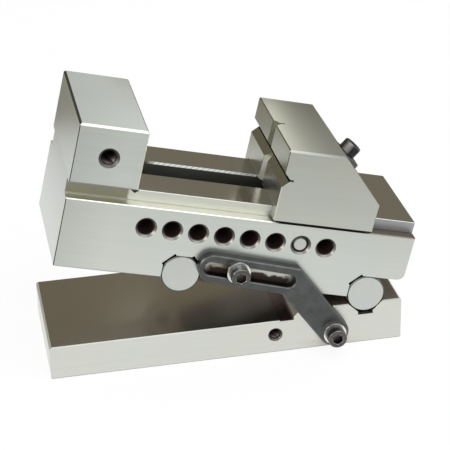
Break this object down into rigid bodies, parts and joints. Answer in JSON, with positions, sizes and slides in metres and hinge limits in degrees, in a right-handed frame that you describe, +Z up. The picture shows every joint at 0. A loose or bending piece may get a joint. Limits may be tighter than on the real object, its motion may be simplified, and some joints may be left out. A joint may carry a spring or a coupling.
{
  "type": "sine vise",
  "caption": "Precision ground sine vise: a toolmaker's vise bed on sine rollers, tilted on a vee hinge base by gauge blocks and held by a slotted locking arm.",
  "frame": {"origin": "middle of the flat underside of the base plate", "axes": "+X along the base towards the hinge end, +Y to the back, away from the locking arm, +Z up"},
  "size_m": [0.1936, 0.0857, 0.1397],
  "materials": {
    "ground_steel": "ground, hardened, satin with fine grain",
    "roller_steel": "fine ground",
    "black_oxide": "black oxide",
    "arm_black": "black oxide, satin",
    "bright_washer": "bright"
  },
  "bodies": {
    "base": {"base_plate": "ground_steel"},
    "bed": {"vise_bed": "ground_steel", "sine_roller": "roller_steel", "hinge_roller": "roller_steel", "sine_screw_front": "black_oxide", "sine_screw_back": "black_oxide", "hinge_screw_front": "black_oxide", "hinge_screw_back": "black_oxide"},
    "jaw": {"movable_jaw": "ground_steel"},
    "bar": {"draw_bar": "black_oxide"},
    "pin": {"cross_pin": "roller_steel"},
    "rocker": {"rocker_seat": "black_oxide"},
    "jaw_bolt": {"jaw_screw": "black_oxide"},
    "arm": {"locking_arm": "arm_black"},
    "lock_ring": {"lock_washer": "bright_washer"},
    "lock_bolt": {"lock_screw": "black_oxide"},
    "pivot_ring": {"pivot_washer": "bright_washer"},
    "pivot_bolt": {"pivot_screw": "black_oxide"}
  },
  "joints": [
    {"name": "tilt", "type": "hinge", "parent": "base", "child": "bed", "pos_m": [0.07325, 0, 0.0285], "axis": [0, 1, 0], "range_deg": [-13.86, 30.11]},
    {"name": "arm_swing", "type": "hinge", "parent": "base", "child": "arm", "pos_m": [0.05525, 0, 0.0105], "axis": [0, 1, 0], "range_deg": [-15.55, 33.75]},
    {"name": "jaw_slide", "type": "slide", "parent": "bed", "child": "jaw", "axis": [0.9708, 0, -0.24], "range_m": [-0.005, 0.005]},
    {"name": "bar_swing", "type": "hinge", "parent": "bed", "child": "bar", "pos_m": [0.03858, 0, 0.06118], "axis": [0, 1, 0], "range_deg": [-5.5, 5.5]},
    {"name": "rocker_follow", "type": "slide", "parent": "bar", "child": "rocker", "axis": [0.7135, 0, 0.7007], "range_m": [-0.0027, 0.0027]},
    {"name": "jaw_screw_turn", "type": "hinge", "parent": "rocker", "child": "jaw_bolt", "pos_m": [0.03858, 0, 0.06118], "axis": [0.7135, 0, 0.7007], "range_deg": [-950, 950]},
    {"name": "pin_pull", "type": "slide", "parent": "bed", "child": "pin", "axis": [0, 1, 0], "range_m": [0, 0.046]},
    {"name": "lock_shift", "type": "slide", "parent": "bed", "child": "lock_ring", "axis": [0, -1, 0], "range_m": [0, 0.002]},
    {"name": "lock_turn", "type": "hinge", "parent": "lock_ring", "child": "lock_bolt", "pos_m": [0.00503, 0, 0.05258], "axis": [0, -1, 0], "range_deg": [0, 721]},
    {"name": "pivot_shift", "type": "slide", "parent": "base", "child": "pivot_ring", "axis": [0, -1, 0], "range_m": [0, 0.002]},
    {"name": "pivot_turn", "type": "hinge", "parent": "pivot_ring", "child": "pivot_bolt", "pos_m": [0.05525, 0, 0.0105], "axis": [0, -1, 0], "range_deg": [0, 721]}
  ],
  "couplings": [
    {"joint": "arm_swing", "follows": "tilt", "ratio": 1.12},
    {"joint": "bar_swing", "follows": "jaw_slide", "rad_per_m": 18.94},
    {"joint": "rocker_follow", "follows": "jaw_slide", "ratio": 0.52444},
    {"joint": "jaw_screw_turn", "follows": "jaw_slide", "rad_per_m": 3295.2},
    {"joint": "lock_turn", "follows": "lock_shift", "rad_per_m": 6283.2},
    {"joint": "pivot_turn", "follows": "pivot_shift", "rad_per_m": 6283.2}
  ]
}
